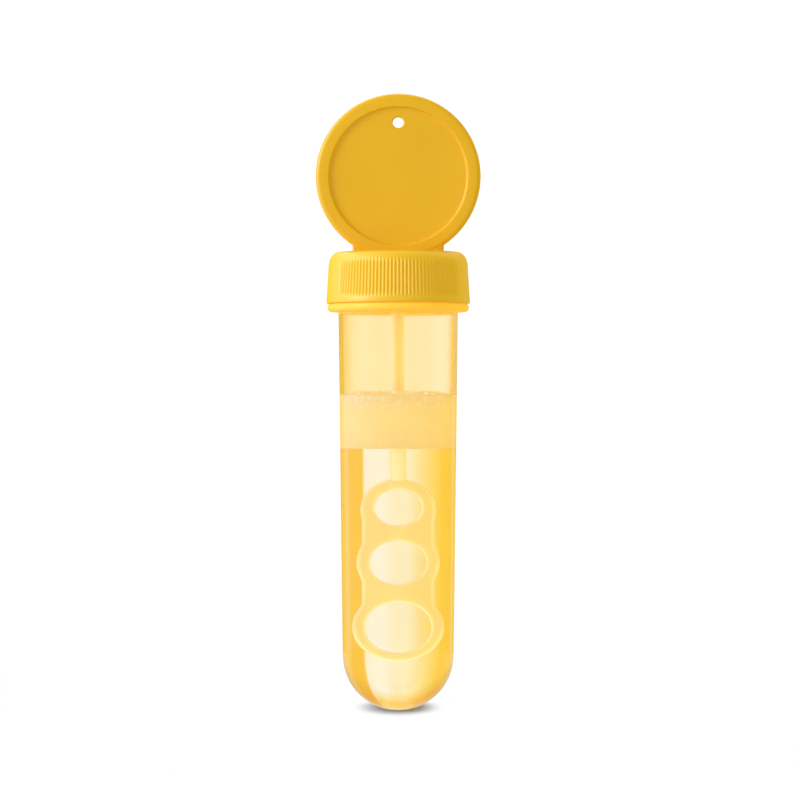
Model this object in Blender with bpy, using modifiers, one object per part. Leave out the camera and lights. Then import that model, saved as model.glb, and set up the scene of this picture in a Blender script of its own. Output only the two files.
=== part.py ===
"""Bubble blower: a round-ended tube of bubble solution, closed by a screw cap that carries a disc
handle and a wand with three loops.

Metres, +Z up. The origin is the middle of the small flat foot under the tube. The disc handle and
the loops of the wand face -Y. The turned pieces share the Z axis, which is also the joint axis.
"""

import math

import bmesh
import bpy
from mathutils import Matrix

MM = 0.001

# Clearances between pieces
SEAT_GAP = 0.3 * MM
THREAD_GAP = 0.35 * MM
SWEEP_GAP = 0.3 * MM

# Tube, outside radii. The round end would meet the ground in a flat of END_FLAT_RADIUS; the foot
# under it is wider, so that the tube stands, and its side slopes out to the round end.
FOOT_RADIUS = 4.9 * MM
FOOT_SLOPE_WIDTH = 1.2 * MM
END_FLAT_RADIUS = 3.0 * MM
END_RADIUS = 12.0 * MM
END_HEIGHT = 12.7 * MM
SHOULDER_RADIUS = 12.9 * MM
SHOULDER_HEIGHT = 85.9 * MM
TUBE_WALL = 1.1 * MM

# Flange and threaded neck
FLANGE_WIDTH = 2.35 * MM
FLANGE_THICKNESS = 1.8 * MM
FLANGE_ROUNDING = 0.7 * MM
NECK_WALL = 1.1 * MM
NECK_LENGTH = 8.0 * MM
NECK_CHAMFER = 0.25 * MM

# Screw thread: one start, right-handed, on the neck and in the cap
THREAD_PITCH = 3.0 * MM
THREAD_HEIGHT = 0.8 * MM
THREAD_ROOT_WIDTH = 1.3 * MM
THREAD_CREST_WIDTH = 0.6 * MM
THREAD_TURNS = 1.25
THREAD_FADE = math.radians(24)
THREAD_BITE = 0.3 * MM
NECK_THREAD_BELOW_RIM = 1.75 * MM
CAP_THREAD_ABOVE_EDGE = 1.2 * MM

# Sealing ring on the rim of the neck
SEAL_THICKNESS = 1.0 * MM
SEAL_OVERHANG = 1.2 * MM

# Cap
CAP_ABOVE_FLANGE = 0.4 * MM
CAP_WALL = 1.45 * MM
CAP_DRAFT = 0.3 * MM
CAP_ROOF = 1.5 * MM
CAP_CORNER_WIDTH = 1.8 * MM
CAP_CORNER_HEIGHT = 3.2 * MM

# Grip grooves, on the front and the back of the cap only
GROOVE_PITCH = math.radians(3)
GROOVE_SECTOR = math.radians(55)
GROOVE_WIDTH = 0.5 * MM
GROOVE_DEPTH = 0.3 * MM
GROOVE_ABOVE_EDGE = 1.6 * MM
GROOVE_BELOW_TOP = 1.0 * MM

# Socket under the cap's roof for the wand's stem
SOCKET_WALL = 1.45 * MM
SOCKET_DEPTH = 6.0 * MM
SOCKET_CEILING = 1.9 * MM
SNAP_ABOVE_MOUTH = 3.6 * MM
SNAP_LENGTH = 1.2 * MM
SNAP_HEIGHT = 0.5 * MM

# Disc handle standing on the cap
DISC_RADIUS = 17.8 * MM
DISC_SINK = 1.4 * MM
DISC_THICKNESS = 3.6 * MM
DISC_ROUNDING = 0.9 * MM
DISC_RIM_WIDTH = 2.8 * MM
RECESS_DEPTH = 0.7 * MM
RECESS_DRAFT = 0.2 * MM
HANDLE_FOOT_WIDTH = 19.7 * MM
HANDLE_FOOT_THICKNESS = 3.2 * MM
HANGING_HOLE_RADIUS = 1.2 * MM
HANGING_HOLE_FROM_RECESS_EDGE = 3.4 * MM

# Wand: stem, and loops from top to bottom as (height of the centre, radius of the hole)
STEM_RADIUS = 1.65 * MM
STEM_CHAMFER = 0.4 * MM
STEM_TAPER = 2.0 * MM
WAND_THICKNESS = 2.2 * MM
WAND_EDGE_CHAMFER = 0.35 * MM
LOOP_BAND = 2.5 * MM
WEB_INSET = 0.5 * MM
LOOPS = ((43.8 * MM, 3.9 * MM), (31.9 * MM, 4.7 * MM), (18.0 * MM, 5.5 * MM))

# Contents
LIQUID_LEVEL = 56.7 * MM
FOAM_LEVEL = 68.6 * MM
FOAM_CROWN = 0.6 * MM
SLOT_SIDE_GAP = 0.75 * MM
SLOT_FLOOR_GAP = 0.6 * MM

# Facets
TURNED_SEGMENTS = 48
DISC_SEGMENTS = 60
LOOP_SEGMENTS = 36
THREAD_STEPS_PER_TURN = 32
SMALL_SEGMENTS = 24
END_POINTS = 9
CORNER_POINTS = 5

# Sizes that follow from the ones above
END_DEPTH = END_HEIGHT / math.sqrt(1 - (END_FLAT_RADIUS / END_RADIUS) ** 2)
FLANGE_TOP = SHOULDER_HEIGHT + FLANGE_THICKNESS
NECK_TOP = FLANGE_TOP + NECK_LENGTH
NECK_THREAD_START = NECK_TOP - NECK_THREAD_BELOW_RIM - THREAD_TURNS * THREAD_PITCH
NECK_BORE = SHOULDER_RADIUS - TUBE_WALL
NECK_RADIUS = NECK_BORE + NECK_WALL
FLANGE_RADIUS = NECK_RADIUS + FLANGE_WIDTH
THREAD_OVERLAP_RADIUS = NECK_RADIUS + THREAD_GAP
SEAL_BOTTOM = NECK_TOP + SEAT_GAP
ROOF_UNDERSIDE = SEAL_BOTTOM + SEAL_THICKNESS + SEAT_GAP
CAP_EDGE = FLANGE_TOP + CAP_ABOVE_FLANGE
CAP_TOP = ROOF_UNDERSIDE + CAP_ROOF
CAP_BORE = NECK_RADIUS + THREAD_HEIGHT + THREAD_GAP
CAP_RADIUS = CAP_BORE + CAP_WALL
SOCKET_RADIUS = STEM_RADIUS + SEAT_GAP
SOCKET_TOP = CAP_TOP - SOCKET_CEILING
SOCKET_MOUTH = SOCKET_TOP - SOCKET_DEPTH
SNAP_CENTRE = SOCKET_MOUTH + SNAP_ABOVE_MOUTH
DISC_CENTRE = CAP_TOP - DISC_SINK + DISC_RADIUS
RECESS_RADIUS = DISC_RADIUS - DISC_RIM_WIDTH
WAND_BOTTOM = min(height - hole - LOOP_BAND for height, hole in LOOPS)
WEB_HALF_WIDTH = LOOPS[0][1] + LOOP_BAND - WEB_INSET
WAND_HALF_WIDTH = max(WEB_HALF_WIDTH, max(hole + LOOP_BAND for _, hole in LOOPS))
SLOT_HALF_DEPTH = max(WAND_THICKNESS / 2, STEM_RADIUS) + SLOT_SIDE_GAP


def clear_scene():
    for obj in list(bpy.data.objects):
        bpy.data.objects.remove(obj, do_unlink=True)


def make_collection(name):
    collection = bpy.data.collections.new(name)
    bpy.context.scene.collection.children.link(collection)
    return collection


def linear(*channels):
    """An sRGB colour, each channel from 0 to 255, as linear values."""
    shares = [channel / 255 for channel in channels]
    return tuple(s / 12.92 if s <= 0.04045 else ((s + 0.055) / 1.055) ** 2.4 for s in shares)


def make_material(name, colour, roughness, transmission=0.0):
    material = bpy.data.materials.new(name)
    material.use_nodes = True
    shader = material.node_tree.nodes["Principled BSDF"]
    shader.inputs["Base Color"].default_value = (*colour, 1.0)
    shader.inputs["Roughness"].default_value = roughness
    shader.inputs["Metallic"].default_value = 0.0
    shader.inputs["Transmission Weight"].default_value = transmission
    return material


def hide_as_tool(obj, tools):
    """A tool cuts or builds up another piece and is no part of the object itself."""
    obj.hide_render = True
    obj.display_type = "WIRE"
    tools.objects.link(obj)
    return obj


def combine(target, tool, operation):
    modifier = target.modifiers.new(f"{operation.lower()} {tool.name}", "BOOLEAN")
    modifier.operation = operation
    modifier.solver = "EXACT"
    modifier.object = tool


def object_from(name, bm):
    bmesh.ops.recalc_face_normals(bm, faces=bm.faces)
    mesh = bpy.data.meshes.new(name)
    bm.to_mesh(mesh)
    bm.free()
    return bpy.data.objects.new(name, mesh)


def box(name, low, high):
    size = [h - l for l, h in zip(low, high)]
    centre = [(h + l) / 2 for l, h in zip(low, high)]
    bm = bmesh.new()
    bmesh.ops.create_cube(bm, size=1.0)
    bmesh.ops.scale(bm, vec=size, verts=bm.verts)
    bmesh.ops.translate(bm, vec=centre, verts=bm.verts)
    return object_from(name, bm)


def cylinder_along_y(name, radius, length, height, segments):
    """A cylinder whose axis is parallel to Y, centred on the Z axis at the given height."""
    turn = Matrix.Translation((0, 0, height)) @ Matrix.Rotation(math.pi / 2, 4, "X")
    bm = bmesh.new()
    bmesh.ops.create_cone(bm, cap_ends=True, segments=segments, radius1=radius, radius2=radius,
                          depth=length, matrix=turn)
    return object_from(name, bm)


def arc(centre, radii, start, end, points):
    """Points of an ellipse round centre, from one angle to another, both ends included."""
    angles = [start + (end - start) * i / (points - 1) for i in range(points)]
    return [(centre[0] + radii[0] * math.cos(a), centre[1] + radii[1] * math.sin(a))
            for a in angles]


def turned(name, profile, segments, closed=False):
    """Turn (radius, height) points round Z. The outer side runs from top to bottom."""
    edges = [(i, i + 1) for i in range(len(profile) - 1)]
    if closed:
        edges.append((len(profile) - 1, 0))
    mesh = bpy.data.meshes.new(name)
    mesh.from_pydata([(radius, 0, height) for radius, height in profile], edges, [])
    obj = bpy.data.objects.new(name, mesh)
    screw = obj.modifiers.new("turn", "SCREW")
    screw.steps = segments
    screw.render_steps = segments
    screw.use_merge_vertices = True
    screw.merge_threshold = 0.01 * MM
    return obj


def thread_ridge(name, root_radius, crest_radius, angle, height):
    """A ridge of the screw thread. It bites into its wall, and both of its ends fade out."""
    outward = math.copysign(1, crest_radius - root_radius)
    bite_radius = root_radius - outward * THREAD_BITE
    section = ((bite_radius, -THREAD_ROOT_WIDTH / 2), (root_radius, -THREAD_ROOT_WIDTH / 2),
               (crest_radius, -THREAD_CREST_WIDTH / 2), (crest_radius, THREAD_CREST_WIDTH / 2),
               (root_radius, THREAD_ROOT_WIDTH / 2), (bite_radius, THREAD_ROOT_WIDTH / 2))
    steps = round(THREAD_TURNS * THREAD_STEPS_PER_TURN)
    sweep = THREAD_TURNS * 2 * math.pi
    climb = THREAD_TURNS * THREAD_PITCH / steps

    bm = bmesh.new()
    face = bm.faces.new([bm.verts.new((radius, 0, up)) for radius, up in section])
    bmesh.ops.spin(bm, geom=[face, *face.edges, *face.verts], cent=(0, 0, 0), axis=(0, 0, 1),
                   dvec=(0, 0, climb), angle=sweep, steps=steps)
    # The spin adds its vertices ring by ring, one ring of the section for each step.
    for index, vertex in enumerate(bm.verts):
        along = sweep * (index // len(section)) / steps
        fade = min(1.0, max(0.05, min(along, sweep - along) / THREAD_FADE))
        radius = vertex.co.xy.length
        if (radius - root_radius) * outward > 0:
            vertex.co.xy *= (root_radius + (radius - root_radius) * fade) / radius
    bmesh.ops.rotate(bm, cent=(0, 0, 0), matrix=Matrix.Rotation(angle, 3, "Z"), verts=bm.verts)
    bmesh.ops.translate(bm, vec=(0, 0, height), verts=bm.verts)
    return object_from(name, bm)


def end_outline(inset):
    """The round end's outline from its flat floor to the wall, moved inwards by inset."""
    radii = (END_RADIUS - inset, END_DEPTH - inset)
    floor_angle = -math.asin((END_HEIGHT - inset) / radii[1])
    return arc((0, END_HEIGHT), radii, floor_angle, 0, END_POINTS)


def foot_outline():
    """The outside of the round end on its foot, from the ground to the wall."""
    radii = (END_RADIUS, END_DEPTH)
    start = -math.acos((FOOT_RADIUS + FOOT_SLOPE_WIDTH) / END_RADIUS)
    return [(FOOT_RADIUS, 0)] + arc((0, END_HEIGHT), radii, start, 0, END_POINTS)


def wall_radius(height, inset):
    """The radius of the tapered wall at a height, moved inwards by inset."""
    share = (height - END_HEIGHT) / (SHOULDER_HEIGHT - END_HEIGHT)
    return END_RADIUS + (SHOULDER_RADIUS - END_RADIUS) * share - inset


def make_tube(parts, tools):
    inside = end_outline(TUBE_WALL) + [(NECK_BORE, SHOULDER_HEIGHT)]
    neck = [(NECK_BORE, NECK_TOP - NECK_CHAMFER), (NECK_BORE + NECK_CHAMFER, NECK_TOP),
            (NECK_RADIUS - NECK_CHAMFER, NECK_TOP), (NECK_RADIUS, NECK_TOP - NECK_CHAMFER)]
    edge = FLANGE_RADIUS - FLANGE_ROUNDING
    rounding = (FLANGE_ROUNDING, FLANGE_ROUNDING)
    flange = [(NECK_RADIUS, FLANGE_TOP)]
    flange += arc((edge, FLANGE_TOP - FLANGE_ROUNDING), rounding, math.pi / 2, 0, CORNER_POINTS)
    flange += arc((edge, SHOULDER_HEIGHT + FLANGE_ROUNDING), rounding, 0, -math.pi / 2,
                  CORNER_POINTS)
    outside = [(SHOULDER_RADIUS, SHOULDER_HEIGHT)] + foot_outline()[::-1]
    profile = [(0, TUBE_WALL)] + inside + neck + flange + outside + [(0, 0)]

    tube = turned("tube", profile, TURNED_SEGMENTS)
    ridge = thread_ridge("neck_thread", NECK_RADIUS, NECK_RADIUS + THREAD_HEIGHT, 0,
                         NECK_THREAD_START)
    combine(tube, hide_as_tool(ridge, tools), "UNION")
    tube.data.materials.append(make_material("clear_yellow", linear(255, 214, 110), 0.2, 0.85))
    parts.objects.link(tube)


def make_sealing_ring(parts):
    inner = NECK_BORE - SEAL_OVERHANG
    top = SEAL_BOTTOM + SEAL_THICKNESS
    profile = [(inner, SEAL_BOTTOM), (inner, top), (NECK_RADIUS, top), (NECK_RADIUS, SEAL_BOTTOM)]
    ring = turned("sealing_ring", profile, TURNED_SEGMENTS, closed=True)
    ring.data.materials.append(make_material("soft_seal", linear(240, 236, 226), 0.6))
    parts.objects.link(ring)


def cap_shell_profile():
    """Half a section through the cap: roof, drafted wall, bore, and the socket for the stem."""
    corner_radius = CAP_RADIUS - CAP_DRAFT - CAP_CORNER_WIDTH
    corner = arc((corner_radius, CAP_TOP - CAP_CORNER_HEIGHT), (CAP_CORNER_WIDTH, CAP_CORNER_HEIGHT),
                 math.pi / 2, 0, CORNER_POINTS + 2)
    snap_radius = SOCKET_RADIUS + SNAP_HEIGHT
    socket = [(SOCKET_RADIUS + SOCKET_WALL, ROOF_UNDERSIDE),
              (SOCKET_RADIUS + SOCKET_WALL, SOCKET_MOUTH), (SOCKET_RADIUS, SOCKET_MOUTH),
              (SOCKET_RADIUS, SNAP_CENTRE - SNAP_LENGTH - SEAT_GAP),
              (snap_radius, SNAP_CENTRE - SNAP_LENGTH / 2),
              (snap_radius, SNAP_CENTRE + SNAP_LENGTH / 2),
              (SOCKET_RADIUS, SNAP_CENTRE + SNAP_LENGTH + SEAT_GAP),
              (SOCKET_RADIUS, SOCKET_TOP), (0, SOCKET_TOP)]
    skirt = [(CAP_RADIUS, CAP_EDGE), (CAP_BORE, CAP_EDGE), (CAP_BORE, ROOF_UNDERSIDE)]
    return [(0, CAP_TOP)] + corner + skirt + socket


def grip_grooves(name):
    """Three-sided bars that cut the grip grooves, in a fan at the front and one at the back."""
    bottom = CAP_EDGE + GROOVE_ABOVE_EDGE
    top = CAP_TOP - GROOVE_BELOW_TOP
    wall_height = CAP_TOP - CAP_CORNER_HEIGHT - CAP_EDGE
    lean = math.atan2(CAP_DRAFT, wall_height)
    middle = (bottom + top) / 2
    wall = CAP_RADIUS - CAP_DRAFT * (middle - CAP_EDGE) / wall_height
    reach = GROOVE_DEPTH * 4 / 3
    stretch = GROOVE_WIDTH / (2 * GROOVE_DEPTH * math.tan(math.pi / 6))
    bar = (Matrix.Translation((wall - GROOVE_DEPTH + reach, 0, middle))
           @ Matrix.Rotation(-lean, 4, "Y")
           @ Matrix.Diagonal((1, stretch, 1, 1))
           @ Matrix.Rotation(math.pi / 2, 4, "Z"))

    count = math.floor(GROOVE_SECTOR / GROOVE_PITCH)
    bm = bmesh.new()
    for facing in (-math.pi / 2, math.pi / 2):
        for i in range(-count, count + 1):
            place = Matrix.Rotation(facing + i * GROOVE_PITCH, 4, "Z") @ bar
            bmesh.ops.create_cone(bm, cap_ends=True, segments=3, radius1=reach, radius2=reach,
                                  depth=(top - bottom) / math.cos(lean), matrix=place)
    return object_from(name, bm)


def handle_disc(name):
    half = DISC_THICKNESS / 2
    edge = DISC_RADIUS - DISC_ROUNDING
    rounding = (DISC_ROUNDING, DISC_ROUNDING)
    profile = [(0, half)]
    profile += arc((edge, half - DISC_ROUNDING), rounding, math.pi / 2, 0, CORNER_POINTS)
    profile += arc((edge, DISC_ROUNDING - half), rounding, 0, -math.pi / 2, CORNER_POINTS)
    profile += [(0, -half)]
    disc = turned(name, profile, DISC_SEGMENTS)
    disc.location.z = DISC_CENTRE
    disc.rotation_euler.x = math.pi / 2
    return disc


def handle_foot(name):
    """The block under the disc. It reaches up to where the disc is wider than the block."""
    half = HANDLE_FOOT_WIDTH / 2
    inner_radius = DISC_RADIUS - DISC_ROUNDING
    top = DISC_CENTRE - math.sqrt(inner_radius ** 2 - half ** 2)
    return box(name, (-half, -HANDLE_FOOT_THICKNESS / 2, CAP_TOP - CAP_ROOF / 2),
               (half, HANDLE_FOOT_THICKNESS / 2, top))


def recess_cutter(name, facing):
    """Cuts the shallow round recess in one face of the disc: facing is 1 at the front, or -1."""
    floor = DISC_THICKNESS / 2 - RECESS_DEPTH
    open_height = DISC_THICKNESS / 2 + RECESS_DEPTH
    profile = [(0, open_height), (RECESS_RADIUS + RECESS_DRAFT, open_height),
               (RECESS_RADIUS - RECESS_DRAFT, floor), (0, floor)]
    cutter = turned(name, profile, DISC_SEGMENTS)
    cutter.location.z = DISC_CENTRE
    cutter.rotation_euler.x = facing * math.pi / 2
    return cutter


def make_screw_cap(parts, tools):
    cap = turned("screw_cap", cap_shell_profile(), TURNED_SEGMENTS)
    hole_height = DISC_CENTRE + RECESS_RADIUS - HANGING_HOLE_FROM_RECESS_EDGE
    start = CAP_EDGE + CAP_THREAD_ABOVE_EDGE
    # The cap's thread lies half a pitch below the neck's, so each fills the other's gap.
    in_mesh = NECK_THREAD_START - THREAD_PITCH / 2
    start_angle = 2 * math.pi * (start - in_mesh) / THREAD_PITCH
    ridge = thread_ridge("cap_thread", CAP_BORE, THREAD_OVERLAP_RADIUS, start_angle, start)
    hole = cylinder_along_y("hanging_hole", HANGING_HOLE_RADIUS, 2 * DISC_THICKNESS, hole_height,
                            SMALL_SEGMENTS)

    steps = ((handle_foot("handle_foot"), "UNION"), (handle_disc("handle_disc"), "UNION"),
             (recess_cutter("front_recess", 1), "DIFFERENCE"),
             (recess_cutter("back_recess", -1), "DIFFERENCE"), (hole, "DIFFERENCE"),
             (grip_grooves("grip_grooves"), "DIFFERENCE"), (ridge, "UNION"))
    for tool, operation in steps:
        combine(cap, hide_as_tool(tool, tools), operation)
    cap.data.materials.append(make_material("opaque_yellow", linear(232, 178, 40), 0.4))
    parts.objects.link(cap)


def wand_stem(name):
    """The round stem with its snap bead. Its foot tapers away inside the top loop's band."""
    tip = SOCKET_TOP - SEAT_GAP
    top_height, top_hole = LOOPS[0]
    foot = top_height + top_hole + LOOP_BAND / 2
    bead = STEM_RADIUS + SNAP_HEIGHT
    profile = [(0, tip), (STEM_RADIUS - STEM_CHAMFER, tip), (STEM_RADIUS, tip - STEM_CHAMFER),
               (STEM_RADIUS, SNAP_CENTRE + SNAP_LENGTH), (bead, SNAP_CENTRE + SNAP_LENGTH / 2),
               (bead, SNAP_CENTRE - SNAP_LENGTH / 2), (STEM_RADIUS, SNAP_CENTRE - SNAP_LENGTH),
               (STEM_RADIUS, foot + STEM_TAPER), (WAND_THICKNESS / 3, foot), (0, foot)]
    return turned(name, profile, SMALL_SEGMENTS)


def make_wand(parts, tools):
    half = WAND_THICKNESS / 2
    wand = box("wand", (-WEB_HALF_WIDTH, -half, LOOPS[-1][0]), (WEB_HALF_WIDTH, half, LOOPS[0][0]))
    for number, (height, hole) in enumerate(LOOPS, start=1):
        band = cylinder_along_y(f"loop_{number}_band", hole + LOOP_BAND, WAND_THICKNESS, height,
                                LOOP_SEGMENTS)
        combine(wand, hide_as_tool(band, tools), "UNION")
    for number, (height, hole) in enumerate(LOOPS, start=1):
        bore = cylinder_along_y(f"loop_{number}_hole", hole, 2 * WAND_THICKNESS, height,
                                LOOP_SEGMENTS)
        combine(wand, hide_as_tool(bore, tools), "DIFFERENCE")
    bevel = wand.modifiers.new("edge chamfer", "BEVEL")
    bevel.width = WAND_EDGE_CHAMFER
    bevel.segments = 1
    bevel.limit_method = "ANGLE"
    bevel.angle_limit = math.radians(60)
    combine(wand, hide_as_tool(wand_stem("wand_stem"), tools), "UNION")
    wand.data.materials.append(make_material("pale_yellow", linear(250, 205, 100), 0.35))
    parts.objects.link(wand)


def make_contents(parts, tools):
    """The solution and the foam on it, each with the slot that the wand is drawn out of."""
    inset = TUBE_WALL + SEAT_GAP
    half_width = WAND_HALF_WIDTH + SWEEP_GAP
    slot = box("wand_slot", (-half_width, -SLOT_HALF_DEPTH, WAND_BOTTOM - SLOT_FLOOR_GAP),
               (half_width, SLOT_HALF_DEPTH, NECK_TOP))
    hide_as_tool(slot, tools)

    liquid_profile = [(0, LIQUID_LEVEL), (wall_radius(LIQUID_LEVEL, inset), LIQUID_LEVEL)]
    liquid_profile += end_outline(inset)[::-1] + [(0, inset)]
    liquid = turned("bubble_solution", liquid_profile, TURNED_SEGMENTS)
    liquid.data.materials.append(make_material("clear_solution", linear(255, 240, 200), 0.05, 0.95))

    bottom = LIQUID_LEVEL + SEAT_GAP
    foam_profile = [(0, FOAM_LEVEL + FOAM_CROWN), (wall_radius(FOAM_LEVEL, inset), FOAM_LEVEL),
                    (wall_radius(bottom, inset), bottom), (0, bottom)]
    foam = turned("foam", foam_profile, TURNED_SEGMENTS)
    foam.data.materials.append(make_material("bubble_foam", linear(255, 230, 165), 0.5, 0.4))

    for piece in (liquid, foam):
        combine(piece, slot, "DIFFERENCE")
        parts.objects.link(piece)


def main():
    clear_scene()
    parts = make_collection("bubble_blower")
    tools = make_collection("tools")
    make_tube(parts, tools)
    make_sealing_ring(parts)
    make_screw_cap(parts, tools)
    make_wand(parts, tools)
    make_contents(parts, tools)


main()
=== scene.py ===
# %% [markdown]
# A bubble blower: a tube of soap solution with a round end, closed by a grooved cap that carries a disc
# handle and a dipping wand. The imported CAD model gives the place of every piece. Each piece is built
# again here as a finer mesh in the same place, so that it can be moulded, rounded and polished like
# the real one, and it rides on the CAD body that moves it.

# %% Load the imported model
import math

import bmesh
import bpy
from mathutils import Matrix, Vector, noise


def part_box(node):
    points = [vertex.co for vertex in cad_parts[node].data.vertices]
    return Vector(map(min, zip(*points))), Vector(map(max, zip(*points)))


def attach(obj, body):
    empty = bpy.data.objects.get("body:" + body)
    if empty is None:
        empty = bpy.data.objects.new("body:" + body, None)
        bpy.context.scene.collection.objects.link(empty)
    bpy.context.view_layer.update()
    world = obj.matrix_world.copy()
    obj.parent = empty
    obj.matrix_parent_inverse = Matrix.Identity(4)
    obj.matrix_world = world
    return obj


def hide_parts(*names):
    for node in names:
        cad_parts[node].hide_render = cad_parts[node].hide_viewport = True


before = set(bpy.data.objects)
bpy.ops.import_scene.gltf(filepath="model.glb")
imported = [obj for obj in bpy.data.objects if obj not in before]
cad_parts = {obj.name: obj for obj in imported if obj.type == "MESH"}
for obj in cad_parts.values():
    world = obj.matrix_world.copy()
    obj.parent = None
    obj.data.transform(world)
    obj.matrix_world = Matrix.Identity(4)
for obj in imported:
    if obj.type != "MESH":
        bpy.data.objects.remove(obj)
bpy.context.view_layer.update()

# %% [markdown]
# Sizes are in millimetres here, because they are easier to read than metres. A mesh is made in
# millimetres and scaled down to metres once, when it is finished. What the box of a CAD node shows is
# read from the imported model, so that the visual pieces fit it. A box can't show what lies inside
# it, so those sizes are written out, and the rest follows from them. Most are the CAD model's. The wand
# and the cap's shoulder are slimmer here, because the photograph shows them so.

# %% Sizes of the real parts
MM = 0.001


def measure(name):
    """Half the width, half the depth, the bottom and the top of a CAD node, to a hundredth."""
    low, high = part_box(name)
    found = [round(value / MM, 2) for value in (high[0], high[1], low[2], high[2])]
    print(name, found)
    return found


measured = {name: measure(name) for name in
            ("tube", "screw_cap", "wand", "sealing_ring", "bubble_solution", "foam")}
FLANGE_RADIUS, _, _, NECK_TOP = measured["tube"]
DISC_RADIUS, CAP_RADIUS, CAP_EDGE, HANDLE_TOP = measured["screw_cap"]
# The sealing ring is as wide as the neck and as the tube's shoulder
SHOULDER_RADIUS, _, SEAL_BOTTOM, SEAL_TOP = measured["sealing_ring"]
STEM_TOP, LIQUID_TOP = measured["wand"][3], measured["bubble_solution"][3]

WALL, SEAT_GAP = 1.1, 0.3
END_RADIUS, END_HEIGHT, SHOULDER_HEIGHT, FLANGE_THICKNESS = 12.0, 12.7, 85.9, 1.8
BORE, FLANGE_TOP = SHOULDER_RADIUS - WALL, SHOULDER_HEIGHT + FLANGE_THICKNESS
PITCH, THREAD_TURNS, RIDGE_HEIGHT, RUNNING_GAP = 3.0, 1.25, 0.8, 0.35
CAP_ROOF, CAP_DRAFT = 1.5, 0.45
CAP_BORE = SHOULDER_RADIUS + RIDGE_HEIGHT + RUNNING_GAP
ROOF_UNDERSIDE = SEAL_TOP + SEAT_GAP
CAP_TOP, CAP_TOP_RADIUS = ROOF_UNDERSIDE + CAP_ROOF, CAP_RADIUS - CAP_DRAFT
DISC_HALF, DISC_RIM_WIDTH, RECESS_DEPTH = 1.8, 2.8, 0.7
DISC_HEIGHT = HANDLE_TOP - DISC_RADIUS
RECESS_RADIUS, RECESS_HALF = DISC_RADIUS - DISC_RIM_WIDTH, DISC_HALF - RECESS_DEPTH
HOLE_ABOVE_CENTRE, HOLE_RADIUS = 11.6, 1.2
HOLE_HEIGHT = DISC_HEIGHT + HOLE_ABOVE_CENTRE
STEM_RADIUS, SOCKET_CEILING, SOCKET_DEPTH, SNAP_ABOVE_MOUTH = 1.65, 1.9, 6.0, 3.6
SOCKET_RADIUS, SOCKET_TOP = STEM_RADIUS + SEAT_GAP, CAP_TOP - SOCKET_CEILING
SOCKET_MOUTH = SOCKET_TOP - SOCKET_DEPTH
SNAP_HEIGHT = SOCKET_MOUTH + SNAP_ABOVE_MOUTH
# Each loop's height, the radius of its hole, and half its width and its height outside
LOOPS = ((43.8, 3.9, 6.1, 6.1), (31.9, 4.7, 6.85, 6.85), (18.0, 5.5, 7.65, 7.15))
WEB_HALF, WAND_HALF = 5.9, 1.1
FOAM_TOP = 68.6
print("cap's top", CAP_TOP, "disc's centre", DISC_HEIGHT, "hanging hole", HOLE_HEIGHT)

# %% [markdown]
# Almost every piece here is turned: its outline goes once round the tube's axis. Real moulded parts have
# no sharp corners, so an outline is written as a few corners, each with the radius of its rounding.

# %% Round the corners of an outline


def rounded(corners, steps=6):
    """(x, y, radius) corners to (x, y) points, with an arc in place of each corner that has a radius."""
    points = []
    for index, (x, y, radius) in enumerate(corners):
        here = Vector((x, y))
        if not radius or index in (0, len(corners) - 1):
            points.append((x, y))
            continue
        to_last = (Vector(corners[index - 1][:2]) - here).normalized()
        to_next = (Vector(corners[index + 1][:2]) - here).normalized()
        half = to_last.angle(to_next) / 2
        reach = radius / math.tan(half)
        centre = here + (to_last + to_next).normalized() * radius / math.sin(half)
        start = here + to_last * reach - centre
        end = here + to_next * reach - centre
        turn = start.angle_signed(end)
        for step in range(steps + 1):
            share = step / steps
            angle = -turn * share
            spoke = Vector((start.x * math.cos(angle) - start.y * math.sin(angle),
                            start.x * math.sin(angle) + start.y * math.cos(angle)))
            points.append(tuple(centre + spoke))
    return points


print("a square corner rounded:", len(rounded([(0, 0, 0), (1, 0, 0.2), (1, 1, 0)])), "points")

# %% [markdown]
# Turning the outline gives a ring of points for each of its corners. Where the outline touches the axis,
# the ring is a single point, so the pole is closed. The last step makes the normals point outwards,
# scales to metres and smooths the shading wherever the surface turns by less than 35 degrees.

# %% Turn an outline into a mesh


def smooth(mesh, sharp=35):
    mesh.shade_smooth()
    mesh.set_sharp_from_angle(angle=math.radians(sharp))


def place_in_scene(name, data):
    made = bpy.data.objects.new(name, data)
    bpy.context.scene.collection.objects.link(made)
    return made


def finish_mesh(name, bm, sharp=35):
    bmesh.ops.remove_doubles(bm, verts=bm.verts, dist=1e-4)
    bmesh.ops.recalc_face_normals(bm, faces=bm.faces)
    bmesh.ops.scale(bm, vec=(MM, MM, MM), verts=bm.verts)
    mesh = bpy.data.meshes.new(name)
    bm.to_mesh(mesh)
    bm.free()
    smooth(mesh, sharp)
    return place_in_scene(name, mesh)


def turn_outline(outline, angles, axis="Z", closed=False):
    """A closed mesh from (radius, height) points. The angles are in degrees, once round."""
    bm = bmesh.new()
    rings = []
    for radius, height in outline:
        ring = []
        for angle in (angles if radius > 1e-6 else angles[:1]):
            a = math.radians(angle)
            x, y = radius * math.cos(a), radius * math.sin(a)
            place = (x, y, height) if axis == "Z" else (x, -height, DISC_HEIGHT + y)
            ring.append(bm.verts.new(place))
        rings.append(ring)
    pairs = list(zip(rings, rings[1:]))
    if closed:
        pairs.append((rings[-1], rings[0]))
    count = len(angles)
    for lower, upper in pairs:
        for i in range(count):
            j = (i + 1) % count
            corners = [lower[i % len(lower)], lower[j % len(lower)],
                       upper[j % len(upper)], upper[i % len(upper)]]
            face = list(dict.fromkeys(corners))
            if len(face) > 2:
                bm.faces.new(face)
    return bm


def even_angles(count):
    return [360 * i / count for i in range(count)]


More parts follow.
